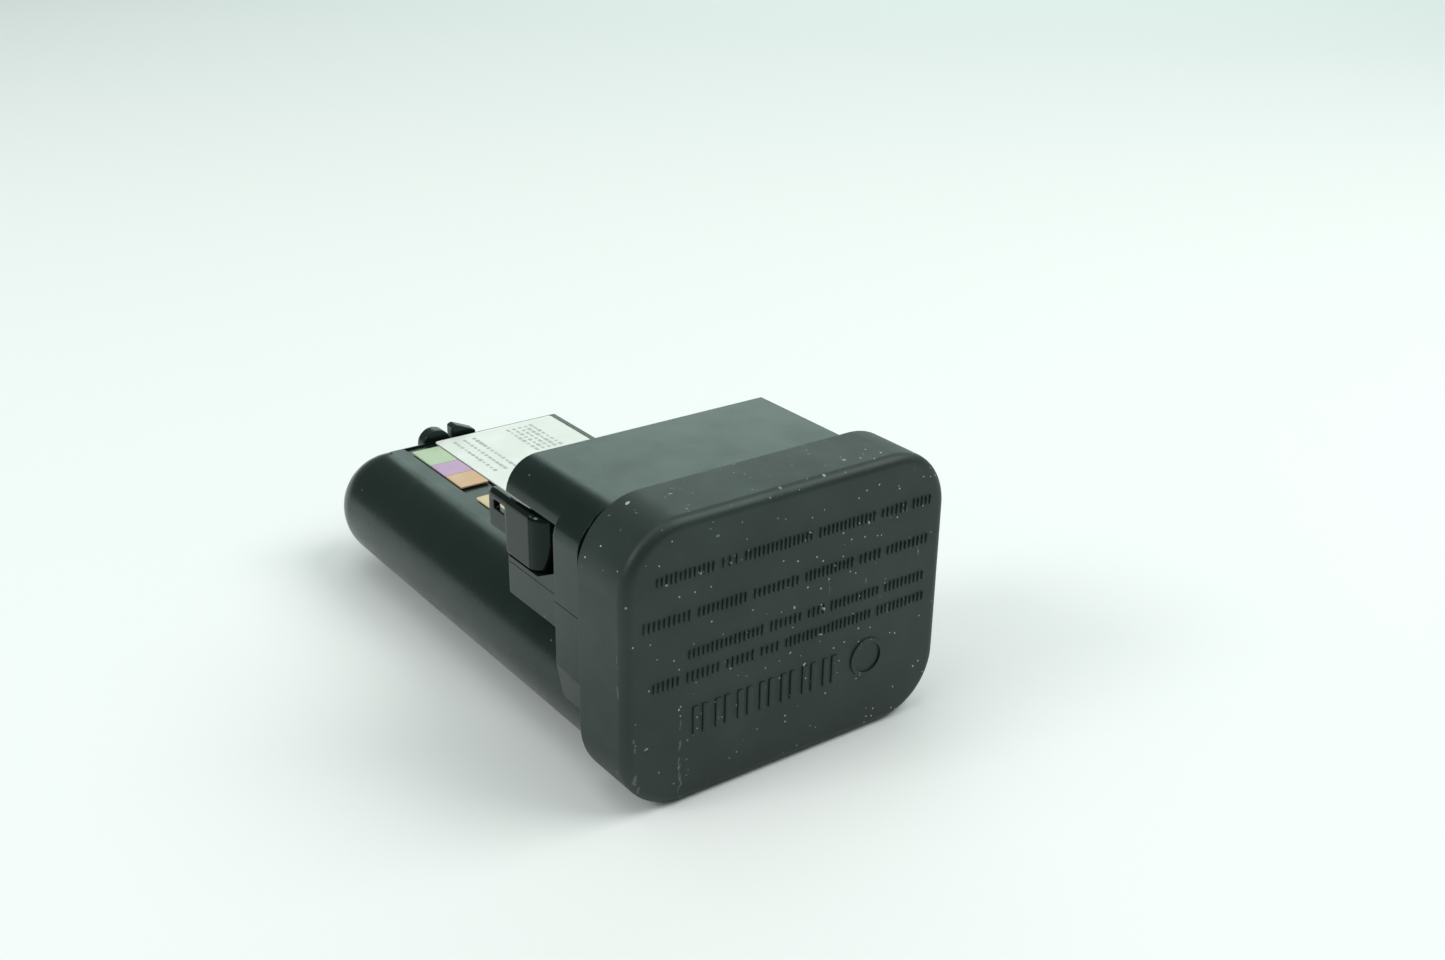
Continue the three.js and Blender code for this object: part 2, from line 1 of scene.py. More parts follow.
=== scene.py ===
# %% [markdown]
# # A vehicle control module
#
# The object is a moulded black box of electronics from a vehicle. A cap with rounded corners pushes
# over one end, a tall box behind it holds a tilt sensor, a low labelled slab ends in a plug socket,
# and a tube with a domed end holds a rod antenna. A springy latch sits on the left wall.
#
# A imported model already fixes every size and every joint. This lesson gives that model its finished
# shapes and materials: soft moulded edges, dusty matt plastic, a printed label, tinned contacts.

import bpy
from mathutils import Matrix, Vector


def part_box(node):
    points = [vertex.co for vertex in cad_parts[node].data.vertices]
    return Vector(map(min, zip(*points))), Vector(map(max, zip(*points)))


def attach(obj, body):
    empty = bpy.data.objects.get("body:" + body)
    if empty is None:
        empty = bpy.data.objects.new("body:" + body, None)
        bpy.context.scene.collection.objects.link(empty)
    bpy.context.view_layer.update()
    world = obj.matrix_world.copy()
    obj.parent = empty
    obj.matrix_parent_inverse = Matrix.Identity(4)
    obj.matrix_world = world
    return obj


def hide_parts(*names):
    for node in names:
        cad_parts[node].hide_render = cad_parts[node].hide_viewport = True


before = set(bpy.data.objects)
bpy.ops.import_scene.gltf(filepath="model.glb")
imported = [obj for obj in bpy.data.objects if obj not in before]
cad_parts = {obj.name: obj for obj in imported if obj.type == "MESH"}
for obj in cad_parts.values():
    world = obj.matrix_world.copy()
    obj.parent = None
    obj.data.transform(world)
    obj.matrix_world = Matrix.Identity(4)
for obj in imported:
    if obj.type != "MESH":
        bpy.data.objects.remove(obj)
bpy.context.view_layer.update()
print("nodes in the frame:", len(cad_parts))

# %% Modules and units
import math

import bmesh
import bpy
from mathutils import Matrix, Vector

MM = 0.001
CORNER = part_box("end_cap")[0]


def at(x, y, z):
    """A place in metres, from millimetres right of, behind and above the cap's low left corner."""
    return CORNER + MM * Vector((x, y, z))


def extent(node):
    """A node's low and high corners in millimetres from the cap's low left corner."""
    low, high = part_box(node)
    return (low - CORNER) / MM, (high - CORNER) / MM


def put(name, data):
    """A new object in the scene that shows the given data."""
    holder = bpy.data.objects.new(name, data)
    bpy.context.scene.collection.objects.link(holder)
    return holder


print("the end cap measures", [round(side, 1) for side in extent("end_cap")[1]], "mm")

# %% [markdown]
# ## Colours and shader nodes
#
# Colours are given as sRGB hex, but shaders work with linear light, so one function turns
# one into the other. One more function adds a node with its settings, its values and its links,
# which keeps every material below short enough to read as a list.


# %% Two helpers for materials
def srgb(code):
    """An sRGB hex colour as linear red, green, blue and alpha."""
    channels = [int(code[i:i + 2], 16) / 255 for i in (1, 3, 5)]
    linear = [c / 12.92 if c <= 0.04045 else ((c + 0.055) / 1.055) ** 2.4 for c in channels]
    return (*linear, 1.0)


def add(tree, kind, settings=None, values=None, links=None):
    """Adds one node to a tree, with its settings, its socket values and its incoming links."""
    node = tree.nodes.new(kind)
    for name, value in (settings or {}).items():
        setattr(node, name, value)
    for name, value in (values or {}).items():
        node.inputs[name].default_value = value
    for name, socket in (links or {}).items():
        tree.links.new(socket, node.inputs[name])
    return node


# %% [markdown]
# ## Camera
#
# The camera looks at the module from its front left, a little from above, with a 40 mm lens. It is
# tilted down from the horizon, swung round the vertical, and rolled by one degree about its own line
# of sight.

# %% Camera
CAMERA_PLACE = at(-113.8, -177.9, 151.5)
CAMERA_TILT = math.radians(23.56)
CAMERA_SWING = math.radians(36.46)
CAMERA_ROLL = math.radians(0.98)

camera_data = bpy.data.cameras.new("camera")
camera_data.lens = 40.3
camera_data.sensor_width = 36
camera = put("camera", camera_data)
swing = Matrix.Rotation(-CAMERA_SWING, 4, "Z")
tilt = Matrix.Rotation(math.pi / 2 - CAMERA_TILT, 4, "X")
roll = Matrix.Rotation(CAMERA_ROLL, 4, "Z")
camera.matrix_world = Matrix.Translation(CAMERA_PLACE) @ swing @ tilt @ roll
bpy.context.scene.camera = camera
print("camera distance from the cap:", round((CAMERA_PLACE - CORNER).length, 3), "m")

# %% [markdown]
# ## Floor and light
#
# Black plastic shows what it mirrors, so the studio is built for its reflections. A white floor
# lights the walls from below, a broad pale panel low behind on the right greys the flat tops, a
# softbox above on the right makes the shadows, and everything else stays dim so that the round
# parts keep a dark edge. A fill lamp on the left, hidden from reflections, only lifts the shadows,
# and a small window beside it puts a glint on the polished latch.

# %% Floor
FLOOR_SIZE = 8.0

floor_mesh = bpy.data.meshes.new("floor")
half = FLOOR_SIZE / 2
floor_corners = [(-half, -half, 0), (half, -half, 0), (half, half, 0), (-half, half, 0)]
floor_mesh.from_pydata(floor_corners, [], [(0, 1, 2, 3)])
floor = put("floor", floor_mesh)
floor_paper = bpy.data.materials.new("white paper floor")
floor_paper.use_nodes = True
floor_surface = floor_paper.node_tree.nodes["Principled BSDF"]
floor_surface.inputs["Base Color"].default_value = srgb("#e9ebea")
floor_surface.inputs["Roughness"].default_value = 0.9
floor_surface.inputs["Specular IOR Level"].default_value = 0.1
floor_mesh.materials.append(floor_paper)
print("floor:", FLOOR_SIZE, "m across")

# %% World and lamps
world = bpy.data.worlds.new("dim studio")
world.use_nodes = True
sky = world.node_tree.nodes["Background"]
sky.inputs["Color"].default_value = srgb("#bac9c5")
sky.inputs["Strength"].default_value = 0.44
bpy.context.scene.world = world
bpy.context.scene.view_settings.view_transform = "Standard"


def lamp(name, direction, distance, width, height, watts, colour):
    """A rectangular softbox that faces the module from a direction."""
    light = bpy.data.lights.new(name, "AREA")
    light.shape = "RECTANGLE"
    light.size = width
    light.size_y = height
    light.energy = watts
    light.color = srgb(colour)[:3]
    holder = put(name, light)
    out = Vector(direction).normalized()
    turn = out.to_track_quat("Z", "Y").to_matrix().to_4x4()
    holder.matrix_world = Matrix.Translation(out * distance) @ turn
    return holder


lamp("softbox", (0.5, -0.35, 0.78), 1.1, 0.7, 0.7, 6.6, "#f9fbf9")
lamp("overhead", (-0.1, 0.15, 1.0), 1.5, 1.2, 1.2, 6.9, "#f8fbf9")
lamp("back_panel", (0.70, 0.66, 0.40), 1.5, 1.5, 0.7, 5.8, "#def5ee")
fill = lamp("left_fill", (-0.8, 0.1, 0.6), 1.5, 1.5, 1.0, 5.0, "#f8fbf9")
fill.visible_glossy = False
lamp("left_window", (-0.8, 0.1, 0.6), 1.4, 0.42, 0.42, 5.2, "#f8fbf9")

# %% [markdown]
# ## Tools for moulded shapes
#
# Moulded parts are mostly flat outlines pulled along one direction, with soft corners and soft end
# edges. One function draws an outline with rounded corners, moved inwards where asked. A second
# one stacks such outlines into a closed solid, easing the first and last few inwards along a
# quarter circle. Solids are then joined or cut with booleans, and the result is shaded smooth with
# its flats kept flat.

# %% Outlines with rounded corners
TINY = 0.02       # the smallest corner radius, which keeps every outline free of doubled points


def outline(corners, inset, steps):
    """Points round a polygon of (u, v, radius) corners, anticlockwise, moved inwards by inset."""
    points = []
    for i, (u, v, radius) in enumerate(corners):
        here = Vector((u, v))
        before = (here - Vector(corners[i - 1][:2])).normalized()
        after = (Vector(corners[(i + 1) % len(corners)][:2]) - here).normalized()
        left_before = Vector((-before.y, before.x))
        left_after = Vector((-after.y, after.x))
        inward = (left_before + left_after) / (1 + left_before.dot(left_after))
        side = 1 if before.x * after.y - before.y * after.x > 0 else -1
        reach = max(radius - side * inset, TINY)
        centre = here + inward * (inset + side * reach)
        start = math.atan2(-side * left_before.y, -side * left_before.x)
        sweep = before.angle_signed(after, 0) * -1
        for step in range(steps + 1):
            angle = start + sweep * step / steps
            points.append((centre.x + reach * math.cos(angle), centre.y + reach * math.sin(angle)))
    return points


def box_corners(u0, u1, v0, v1, radii):
    """A rectangle's corners: low left, low right, high right and high left, with their radii."""
    low_left, low_right, high_right, high_left = radii
    return [(u0, v0, low_left), (u1, v0, low_right), (u1, v1, high_right), (u0, v1, high_left)]


print("a square with round corners has", len(outline(box_corners(0, 1, 0, 1, [0.2] * 4), 0, 4)), "points")

# %% Solids pulled along a direction
PULL = {
    "X": lambda u, v, w: at(w, u, v),
    "Y": lambda u, v, w: at(u, w, v),
    "Z": lambda u, v, w: at(u, v, w),
}


def make_object(name, points, faces):
    """A new object at the origin with the given mesh, its faces turned outwards."""
    mesh = bpy.data.meshes.new(name)
    mesh.from_pydata(points, [], faces)
    shape = bmesh.new()
    shape.from_mesh(mesh)
    bmesh.ops.recalc_face_normals(shape, faces=shape.faces)
    shape.to_mesh(mesh)
    shape.free()
    piece = put(name, mesh)
    return piece


def stacked(name, rings):
    """A closed solid through rings that all have the same number of points."""
    count = len(rings[0])
    faces = [tuple(range(count)), tuple(range((len(rings) - 1) * count, len(rings) * count))]
    for level in range(len(rings) - 1):
        for i in range(count):
            a = level * count + i
            b = level * count + (i + 1) % count
            faces.append((a, b, b + count, a + count))
    return make_object(name, [point for ring in rings for point in ring], faces)


def easing(edge, steps):
    """Pairs of how far in and how far along, from the end face round a soft edge to the wall."""
    turns = [math.pi / 2 * step / steps for step in range(steps + 1)]
    return [(edge * (1 - math.sin(turn)), edge * (1 - math.cos(turn))) for turn in turns]


def moulded(name, corners, along, start, end, edges=(0, 0), steps=5, edge_steps=4):
    """An outline pulled along X, Y or Z from start to end, with soft edges at its two ends."""
    levels = [(inset, start + run) for inset, run in (easing(edges[0], edge_steps) if edges[0] else [(0, 0)])]
    closing = [(inset, end - run) for inset, run in (easing(edges[1], edge_steps) if edges[1] else [(0, 0)])]
    levels += reversed(closing)
    place = PULL[along]
    rings = [[place(u, v, w) for u, v in outline(corners, inset, steps)] for inset, w in levels]
    return stacked(name, rings)


# %% Joining, cutting and shading
def settle(piece):
    """Turns a piece's modifiers into its plain mesh."""
    graph = bpy.context.evaluated_depsgraph_get()
    mesh = bpy.data.meshes.new_from_object(piece.evaluated_get(graph))
    old = piece.data
    piece.modifiers.clear()
    piece.data = mesh
    bpy.data.meshes.remove(old)
    return piece


def combine(piece, tools, operation):
    """Joins the tools to a piece or cuts them from it, and removes the tools."""
    for tool in tools:
        modifier = piece.modifiers.new("combine", "BOOLEAN")
        modifier.operation = operation
        modifier.solver = "MANIFOLD"
        modifier.object = tool
    settle(piece)
    for tool in tools:
        bpy.data.objects.remove(tool)
    return piece


def cleaned(piece, flat=0.2):
    """Merges doubled points and dissolves the cuts that booleans leave across flat faces."""
    shape = bmesh.new()
    shape.from_mesh(piece.data)
    bmesh.ops.remove_doubles(shape, verts=shape.verts, dist=0.002 * MM)
    bmesh.ops.dissolve_limit(shape, angle_limit=math.radians(flat), verts=shape.verts, edges=shape.edges)
    shape.to_mesh(piece.data)
    shape.free()
    return piece


def shaded(piece, crease=35):
    """Smooth shading between soft faces, sharp at creases, with large flats kept flat."""
    piece.data.shade_smooth()
    piece.data.set_sharp_from_angle(angle=math.radians(crease))
    modifier = piece.modifiers.new("flats", "WEIGHTED_NORMAL")
    modifier.keep_sharp = True
    modifier.weight = 100
    return settle(piece)


def finish_piece(piece, material, body, slot, *nodes):
    """Gives a piece its material, its body and the nodes that it stands for. The slot is not used."""
    piece.data.materials.clear()
    piece.data.materials.append(material)
    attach(piece, body)
    if nodes:
        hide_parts(*nodes)
    print(f"{piece.name}: {len(piece.data.polygons)} faces on {body}")
    return piece


# %% [markdown]
# ## Materials
#
# Each one starts from what the real part is made of and how its surface was made. Patterns are
# sized in millimetres, read Object coordinates and so stay fixed to the piece when it moves.


# %% A material's common start
def start_material(name, colour, roughness, sockets=None):
    """A material with one shader, and the place socket that its patterns read."""
    material = bpy.data.materials.new(name)
    material.use_nodes = True
    tree = material.node_tree
    tree.nodes.clear()
    values = {"Base Color": srgb(colour), "Roughness": roughness, **(sockets or {})}
    surface = add(tree, "ShaderNodeBsdfPrincipled", values=values)
    add(tree, "ShaderNodeOutputMaterial", links={"Surface": surface.outputs["BSDF"]})
    place = add(tree, "ShaderNodeTexCoord").outputs["Object"]
    return material, tree, surface, place


def per(size):
    """The scale of a pattern whose marks are this many millimetres across."""
    return 1 / (size * MM)


def ranged(tree, socket, low, high, out_low=0.0, out_high=1.0):
    """Stretches the part of a pattern between low and high over a new range."""
    values = {"From Min": low, "From Max": high, "To Min": out_low, "To Max": out_high}
    return add(tree, "ShaderNodeMapRange", values=values, links={"Value": socket}).outputs["Result"]


def noise(tree, place, size, detail=3.0):
    """Cloudy noise with clouds of about the given size in millimetres."""
    values = {"Scale": per(size), "Detail": detail}
    return add(tree, "ShaderNodeTexNoise", values=values, links={"Vector": place}).outputs["Fac"]


def blended(tree, amount, first, second):
    """Goes from the first colour to the second by an amount. Each may be a socket or a hex code."""
    values = {}
    links = {"Factor": amount}
    for index, colour in ((6, first), (7, second)):
        if isinstance(colour, str):
            values[index] = srgb(colour)
        else:
            links[index] = colour
    return add(tree, "ShaderNodeMix", {"data_type": "RGBA"}, values, links).outputs[2]


def compute(tree, operation, first, second):
    """A math node's result, from a socket and either a second socket or a number."""
    node = add(tree, "ShaderNodeMath", {"operation": operation}, links={0: first})
    if isinstance(second, float):
        node.inputs[1].default_value = second
    else:
        tree.links.new(second, node.inputs[1])
    return node.outputs[0]


def specks(tree, place, spacing, smallest, largest, share):
    """Dots scattered about a spacing in millimetres apart, in a share of the places, as a mask."""
    links = {"Vector": place}
    cells = add(tree, "ShaderNodeTexVoronoi", values={"Scale": per(spacing)}, links=links)
    chance = add(tree, "ShaderNodeSeparateColor", links={"Color": cells.outputs["Color"]})
    size = ranged(tree, chance.outputs["Green"], 0, 1, smallest / spacing / 2, largest / spacing / 2)
    inside = compute(tree, "LESS_THAN", cells.outputs["Distance"], size)
    chosen = compute(tree, "LESS_THAN", chance.outputs["Red"], share)
    return compute(tree, "MULTIPLY", inside, chosen)


def bumped(tree, surface, height, depth, strength=1.0):
    """Raises the surface by a pattern, at most depth millimetres high."""
    values = {"Distance": depth * MM, "Strength": strength}
    bump = add(tree, "ShaderNodeBump", values=values, links={"Height": height})
    tree.links.new(bump.outputs["Normal"], surface.inputs["Normal"])


def most(tree, first, second):
    """The larger of two masks."""
    return compute(tree, "MAXIMUM", first, second)


def times(tree, first, second):
    """A mask made weaker by a number or by another mask."""
    return compute(tree, "MULTIPLY", first, second)


# %% [markdown]
# ### Matt moulded plastic of the cap
#
# The cap is black polypropylene from a mould with a fine matt texture. Handling leaves a thin grey
# film, pale lint and grit, and a few hairline scratches. The texture is about 0.2 mm across, the
# lint 0.3 to 1 mm.

# %% Cap plastic
def make_cap_plastic():
    sockets = {"IOR": 1.49, "Specular IOR Level": 0.55, "Specular Tint": srgb("#ecfffa")}
    material, tree, surface, place = start_material("matt_polypropylene", "#181f1d", 0.5, sockets)
    film = ranged(tree, noise(tree, place, 14, 5), 0.42, 0.72)
    worn = blended(tree, film, "#141c19", "#1d2723")
    warp = add(tree, "ShaderNodeTexNoise", values={"Scale": per(1.6), "Detail": 2.0}, links={"Vector": place})
    bend = add(tree, "ShaderNodeVectorMath", {"operation": "SCALE"}, {"Scale": 1.3 * MM},
               {0: warp.outputs["Color"]}).outputs[0]
    bent = add(tree, "ShaderNodeVectorMath", {"operation": "ADD"}, links={0: place, 1: bend}).outputs[0]
    lint = specks(tree, bent, 3.1, 0.25, 0.8, 0.36)
    grit = specks(tree, place, 1.4, 0.12, 0.4, 0.42)
    crowd = ranged(tree, noise(tree, place, 22, 1), 0.36, 0.6, 0.3, 1.0)
    slant = {"Rotation": (0.0, math.radians(57), 0.0), "Scale": (1, 1, 0.035)}
    stretch = add(tree, "ShaderNodeMapping", values=slant, links={"Vector": bent}).outputs[0]
    hair = ranged(tree, noise(tree, stretch, 1.1, 1), 0.735, 0.76)
    dust = most(tree, lint, grit)
    dusty = times(tree, dust, crowd)
    scuffed = blended(tree, times(tree, hair, 0.5), worn, "#66706d")
    colour = blended(tree, times(tree, dusty, 0.75), scuffed, "#c2c7bd")
    tree.links.new(colour, surface.inputs["Base Color"])
    rough = ranged(tree, noise(tree, place, 6, 4), 0.3, 0.7, 0.47, 0.53)
    tree.links.new(most(tree, rough, times(tree, dusty, 0.9)), surface.inputs["Roughness"])
    bumped(tree, surface, noise(tree, place, 0.22, 2), 0.012, 0.6)
    return material


cap_plastic = make_cap_plastic()
print("made", cap_plastic.name)

# %% [markdown]
# ### Satin and glossy plastic
#
# The housing comes from a smoother mould, so its flats mirror the room softly and show only faint
# ripples and a little dust. The latch is of the same plastic, polished by fingers.


# %% Housing and latch plastic
def make_smooth_plastic(name, colour, roughness, ripple, dust_share, shine=0.5):
    """Moulded plastic. Its ripples are so many millimetres deep, and shine is how well it mirrors."""
    sockets = {"IOR": 1.5, "Specular IOR Level": shine, "Specular Tint": srgb("#d8f8ee")}
    material, tree, surface, place = start_material(name, colour, roughness, sockets)
    rough = ranged(tree, noise(tree, place, 9, 4), 0.3, 0.7, roughness - 0.04, roughness + 0.07)
    dust = specks(tree, place, 2.4, 0.15, 0.5, dust_share)
    tree.links.new(blended(tree, times(tree, dust, 0.45), colour, "#8d938d"), surface.inputs["Base Color"])
    tree.links.new(most(tree, rough, times(tree, dust, 0.8)), surface.inputs["Roughness"])
    bumped(tree, surface, noise(tree, place, 3.5, 3), ripple, 0.5)
    return material


housing_plastic = make_smooth_plastic("satin_polypropylene", "#121b19", 0.24, 0.02, 0.10, 0.36)
latch_plastic = make_smooth_plastic("polished_polypropylene", "#0b110f", 0.09, 0.003, 0.03, 0.26)
header_plastic = make_smooth_plastic("glass_filled_nylon", "#131517", 0.48, 0.01, 0.02)
clip_plastic = make_smooth_plastic("grey_nylon", "#55595b", 0.5, 0.01, 0.05)
relay_plastic = make_smooth_plastic("ivory_polyester", "#d8d4c4", 0.42, 0.01, 0.03)
chip_resin = make_smooth_plastic("black_epoxy_resin", "#191a1c", 0.55, 0.01, 0.02)
print("made the smooth plastics")

# %% [markdown]
# ### Rubber, film, paper and inks
#
# The seal is grey silicone rubber with a soft sheen. The label is white polyester film, slightly
# cloudy where its glue shows through. The tinted patches are printed on the same film.


# %% Rubber, film and inks
def make_soft_sheet(name, colour, shade, roughness, grain):
    """A sheet or rubber whose colour drifts between two tones, with a fine grain in millimetres."""
    material, tree, surface, place = start_material(name, colour, roughness)
    drift = ranged(tree, noise(tree, place, 8, 4), 0.35, 0.7)
    tree.links.new(blended(tree, drift, colour, shade), surface.inputs["Base Color"])
    bumped(tree, surface, noise(tree, place, grain, 2), 0.01, 0.4)
    return material


seal_rubber = make_soft_sheet("grey_silicone_rubber", "#4a4f50", "#3d4243", 0.62, 0.3)
label_film = make_soft_sheet("white_polyester_film", "#d8dbd6", "#ced3cc", 0.38, 0.5)
green_ink = make_soft_sheet("green_ink", "#9fb391", "#aabc9d", 0.4, 0.5)
lilac_ink = make_soft_sheet("lilac_ink", "#ae8aae", "#b799b9", 0.4, 0.5)
amber_ink = make_soft_sheet("amber_ink", "#c09a74", "#c9a784", 0.4, 0.5)
cream_paper = make_soft_sheet("cream_paper", "#cdbd9b", "#c1b18d", 0.7, 0.3)
grey_ink = make_soft_sheet("grey_ink", "#9aa3a0", "#aab2af", 0.45, 0.5)
print("made rubber, film, paper and inks")

# %% [markdown]
# ### Metals
#
# Tin, zinc plate, brass, copper wire and drawn steel differ in colour and in how their surface was
# worked. Drawn and ground metal has fine lines one way; plating is cloudy. The lines are really
# about 0.02 mm apart and are drawn ten times as coarse so that they show.


# %% Metals
def make_metal(name, colour, shade, roughness, lines=(1.0, 1.0, 1.0)):
    """A metal with cloudy colour and with fine lines along the axes where lines is small."""
    material, tree, surface, place = start_material(name, colour, roughness, {"Metallic": 1.0})
    cloud = ranged(tree, noise(tree, place, 2.5, 4), 0.35, 0.65)
    tree.links.new(blended(tree, cloud, colour, shade), surface.inputs["Base Color"])
    drawn = add(tree, "ShaderNodeMapping", values={"Scale": lines}, links={"Vector": place}).outputs[0]
    fine = noise(tree, drawn, 0.2, 2)
    rough = ranged(tree, fine, 0.3, 0.7, roughness - 0.06, roughness + 0.1)
    tree.links.new(rough, surface.inputs["Roughness"])
    bumped(tree, surface, fine, 0.006, 0.5)
    return material


contact_tin = make_metal("bright_tin_plate", "#d2d4d6", "#bfc3c6", 0.24, (1, 0.05, 1))
can_metal = make_metal("drawn_aluminium", "#c6c9cc", "#b4b8bb", 0.28, (1, 1, 0.05))
sheet_steel = make_metal("zinc_plated_sheet", "#b3b9bd", "#9aa2a6", 0.36, (1, 0.06, 1))
pin_steel = make_metal("ground_steel", "#c3c6c8", "#b2b6b8", 0.2, (0.3, 1, 0.3))
screw_steel = make_metal("zinc_plated_screw", "#adb1b4", "#979da1", 0.32)
pendulum_brass = make_metal("turned_brass", "#d0a352", "#b98b3f", 0.3, (1, 0.08, 1))
copper_wire = make_metal("enamelled_copper", "#b5612f", "#8f4622", 0.3, (1, 0.2, 1))
print("made the metals")

# %% [markdown]
# ### Circuit board and ferrite
#
# The board is green solder resist over glass cloth. Its copper tracks show as slightly raised,
# lighter lines, drawn here as the gaps of a brick pattern. Ferrite is a dark grey ceramic, pressed
# and fired, with a speckled matt skin.


# %% Board and ferrite
def make_board_laminate():
    material, tree, surface, place = start_material("green_solder_resist", "#1e5b3a", 0.35)
    values = {"Scale": per(12), "Mortar Size": 0.012, "Brick Width": 0.55, "Row Height": 0.11, "Bias": 0.0}
    tracks = add(tree, "ShaderNodeTexBrick", values=values, links={"Vector": place}).outputs["Fac"]
    cloth = noise(tree, place, 0.6, 2)
    shade = blended(tree, cloth, "#1a5234", "#216240")
    tree.links.new(blended(tree, times(tree, tracks, 0.55), shade, "#3f8a5c"), surface.inputs["Base Color"])
    bumped(tree, surface, tracks, 0.035, 0.6)
    return material


def make_ferrite():
    material, tree, surface, place = start_material("fired_ferrite", "#3a3a3d", 0.6)
    fleck = ranged(tree, noise(tree, place, 0.5, 4), 0.45, 0.7)
    tree.links.new(blended(tree, fleck, "#343437", "#4b4b4f"), surface.inputs["Base Color"])
    bumped(tree, surface, noise(tree, place, 0.4, 3), 0.02, 0.6)
    return material


board_laminate = make_board_laminate()
ferrite = make_ferrite()
print("made", board_laminate.name, "and", ferrite.name)

# %% [markdown]
# ## End cap
#
# The cap is a shallow open box with large corners and one soft edge round its face. Its whole skin,
# from the face round the rim to the inner floor, is one stack of outlines, so the wall has an even
# thickness and no seam.

# %% End cap
cap_width, cap_depth, cap_height = extent("end_cap")[1]
RELIEF = 0.3          # height of the raised marks on the face
CAP_CORNER = 11.3
CAP_WALL = 1.6
CAP_FLOOR = 2.0
CAP_EDGE = 1.9
RIM_EDGE = 0.35


def cap_ring(inset, y):
    """The cap's outline, moved inwards and placed y millimetres behind its foremost point."""
    corners = box_corners(0, cap_width, 0, cap_height, [CAP_CORNER] * 4)
    return [at(u, y, v) for u, v in outline(corners, inset, 18)]


def make_cap_shell():
    face = [(inset, RELIEF + run) for inset, run in easing(CAP_EDGE, 8)]
    rim = [(inset, cap_depth - run) for inset, run in reversed(easing(RIM_EDGE, 3))]
    inner_rim = [(CAP_WALL - inset, cap_depth - run) for inset, run in easing(RIM_EDGE, 3)]
    inner_floor = RELIEF + CAP_FLOOR
    inner = [(CAP_WALL + inset, inner_floor + run) for inset, run in reversed(easing(0.5, 3))]
    levels = [(face[0][0] + 1.2, RELIEF), *face, *rim, *inner_rim, *inner]
    return stacked("cap_shell", [cap_ring(inset, y) for inset, y in levels])


cap_shell = shaded(make_cap_shell(), 50)
finish_piece(cap_shell, cap_plastic, "cap", "cap_plastic", "end_cap")

# %% [markdown]
# ## Raised marks on the cap
#
# The real cap carries moulded small print. Here plain upright strokes in the same rows stand for
# it, with a plain ring beside the largest row. A stroke repeats hundreds of times, so Geometry Nodes
# place it: each word is an edge, the edge becomes a curve, the curve gets a point every pitch, and
# each point gets one stroke of a slightly random height. The same tree later sets the printed dashes
# of the label.

# %% A tree that sets pieces in rows
def start_tree(name, kinds):
    """A Geometry Nodes tree and its inputs: geometry and then the given names and kinds of value."""
    tree = bpy.data.node_groups.new(name, "GeometryNodeTree")
    for label, kind in {"Geometry": "Geometry", **kinds}.items():
        tree.interface.new_socket(label, in_out="INPUT", socket_type="NodeSocket" + kind)
    tree.interface.new_socket("Geometry", in_out="OUTPUT", socket_type="NodeSocketGeometry")
    return tree, add(tree, "NodeGroupInput").outputs


def make_row_tree():
    kinds = {"Pitch": "Float", "Piece": "Object", "Smallest": "Vector", "Largest": "Vector",
             "Seed": "Int", "Material": "Material"}
    tree, inputs = start_tree("pieces_in_rows", kinds)
    lines = add(tree, "GeometryNodeMeshToCurve", links={"Mesh": inputs["Geometry"]})
    points = add(tree, "GeometryNodeResampleCurve", {"mode": "LENGTH"},
                 links={"Curve": lines.outputs[0], "Length": inputs["Pitch"]})
    shape = add(tree, "GeometryNodeObjectInfo", links={"Object": inputs["Piece"]})
    size = add(tree, "FunctionNodeRandomValue", {"data_type": "FLOAT_VECTOR"},
               links={0: inputs["Smallest"], 1: inputs["Largest"], "Seed": inputs["Seed"]})
    placed = {"Points": points.outputs[0], "Instance": shape.outputs["Geometry"], "Scale": size.outputs[0]}
    copies = add(tree, "GeometryNodeInstanceOnPoints", links=placed)
    solid = add(tree, "GeometryNodeRealizeInstances", links={"Geometry": copies.outputs[0]})
    coloured = add(tree, "GeometryNodeSetMaterial",
                   links={"Geometry": solid.outputs[0], "Material": inputs["Material"]})
    add(tree, "NodeGroupOutput", links={"Geometry": coloured.outputs[0]})
    return tree


row_tree = make_row_tree()


def grown(piece, tree, inputs):
    """Runs a Geometry Nodes tree on a piece with named inputs and keeps the plain mesh."""
    modifier = piece.modifiers.new(tree.name, "NODES")
    modifier.node_group = tree
    sockets = {item.name: item.identifier for item in tree.interface.items_tree if item.in_out == "INPUT"}
    for name, value in inputs.items():
        modifier[sockets[name]] = value
    return settle(piece)


def in_rows(name, lines, stamp, pitch, smallest, largest, seed, material):
    """Copies of a stamp every pitch millimetres along each line, of slightly random sizes."""
    mesh = bpy.data.meshes.new(name)
    points = [point for line in lines for point in line]
    mesh.from_pydata(points, [(2 * i, 2 * i + 1) for i in range(len(lines))], [])
    piece = put(name, mesh)
    inputs = {"Pitch": pitch * MM, "Piece": stamp, "Smallest": smallest, "Largest": largest, "Seed": seed}
    return grown(piece, row_tree, {**inputs, "Material": material})


def soft_block(name, width, depth, height, edge):
    """A small block about the origin with soft edges, to be repeated."""
    shape = bmesh.new()
    bmesh.ops.create_cube(shape, size=1)
    bmesh.ops.scale(shape, vec=Vector((width, depth, height)) * MM, verts=shape.verts)
    bmesh.ops.bevel(shape, geom=shape.edges, offset=edge * MM, segments=1, affect="EDGES", profile=0.5)
    mesh = bpy.data.meshes.new(name)
    shape.to_mesh(mesh)
    shape.free()
    return bpy.data.objects.new(name, mesh)


